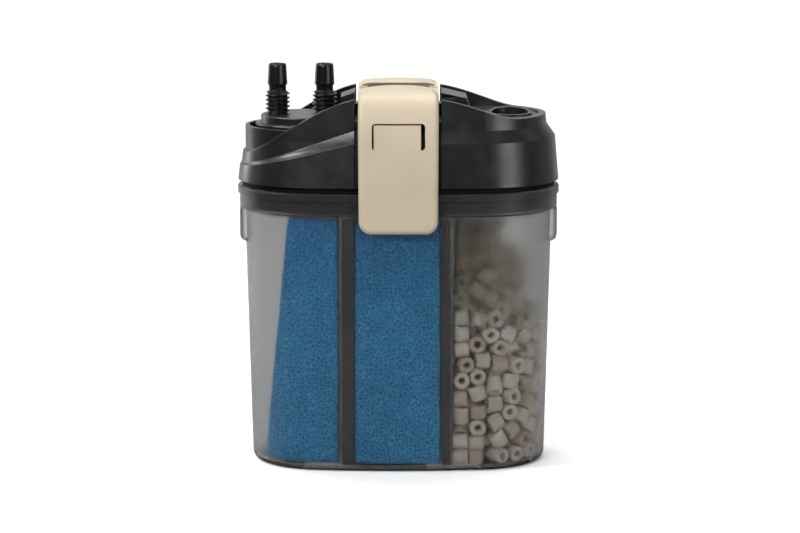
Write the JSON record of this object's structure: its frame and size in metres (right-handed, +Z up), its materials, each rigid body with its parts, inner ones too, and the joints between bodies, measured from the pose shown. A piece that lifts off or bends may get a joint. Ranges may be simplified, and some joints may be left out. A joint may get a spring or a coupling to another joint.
{
  "type": "aquarium canister filter",
  "caption": "External aquarium canister filter: clear tank with foam and ceramic media, black motor lid with two hose nozzles, and two swing clips.",
  "frame": {"origin": "middle of the tank's base, on the surface it stands on", "axes": "+X to the right with the cable well, -Y to the front, +Z up"},
  "size_m": [0.172, 0.0996, 0.2139],
  "materials": {
    "tank_clear": "smoke-grey clear moulded plastic, lightly frosted inside",
    "divider_grey": "satin moulded grey plastic",
    "foam_blue": "open-cell blue filter foam",
    "ceramic": "dull fired ceramic, grey-beige",
    "lid_black": "satin black moulded plastic with a fine grain",
    "clip_beige": "satin beige moulded plastic",
    "nozzle_black": "glossy black moulded plastic",
    "seal_rubber": "soft black silicone rubber",
    "pin_steel": "drawn stainless pin",
    "rotor_plastic": "white moulded impeller plastic",
    "magnet_ferrite": "sintered ferrite",
    "shaft_ceramic": "polished white ceramic",
    "core_steel": "stacked steel laminations",
    "coil_copper": "enamelled copper winding",
    "bobbin_white": "white nylon"
  },
  "bodies": {
    "tank": {"tank": "tank_clear", "divider_left": "divider_grey", "divider_right": "divider_grey", "sponge_coarse": "foam_blue", "sponge_fine": "foam_blue", "ceramic_rings": "ceramic"},
    "lid": {"lid_shell": "lid_black", "hinge_block": "lid_black", "front_clip_pin": "pin_steel", "rear_clip_pin": "pin_steel", "pump_head": "lid_black", "seal_gasket": "seal_rubber", "pump_cover": "lid_black", "impeller_shaft": "shaft_ceramic", "shaft_bush_upper": "seal_rubber", "shaft_bush_lower": "seal_rubber", "stator_core": "core_steel", "stator_coil_front": "coil_copper", "stator_coil_rear": "coil_copper", "coil_bobbin_front": "bobbin_white", "coil_bobbin_rear": "bobbin_white", "inlet_riser": "lid_black", "outlet_riser": "lid_black", "hose_cap": "lid_black", "cap_seal": "seal_rubber", "inlet_nozzle": "nozzle_black", "outlet_nozzle": "nozzle_black", "cable_gland": "seal_rubber", "lid_screws": "pin_steel"},
    "front_clip": {"front_clip": "clip_beige"},
    "rear_clip": {"rear_clip": "clip_beige"},
    "rotor": {"impeller": "rotor_plastic", "rotor_magnet": "magnet_ferrite"}
  },
  "joints": [
    {"name": "lid_lift", "type": "slide", "parent": "tank", "child": "lid", "axis": [0, 0, 1], "range_m": [0, 0.12]},
    {"name": "front_clip_swing", "type": "hinge", "parent": "lid", "child": "front_clip", "pos_m": [0, -0.014, 0.197], "axis": [-1, 0, 0], "range_deg": [0, 95]},
    {"name": "rear_clip_swing", "type": "hinge", "parent": "lid", "child": "rear_clip", "pos_m": [0, 0.014, 0.197], "axis": [1, 0, 0], "range_deg": [0, 95]},
    {"name": "impeller_spin", "type": "hinge", "parent": "lid", "child": "rotor", "pos_m": [0.006, 0, 0.16], "axis": [0, 0, 1], "continuous": true}
  ]
}
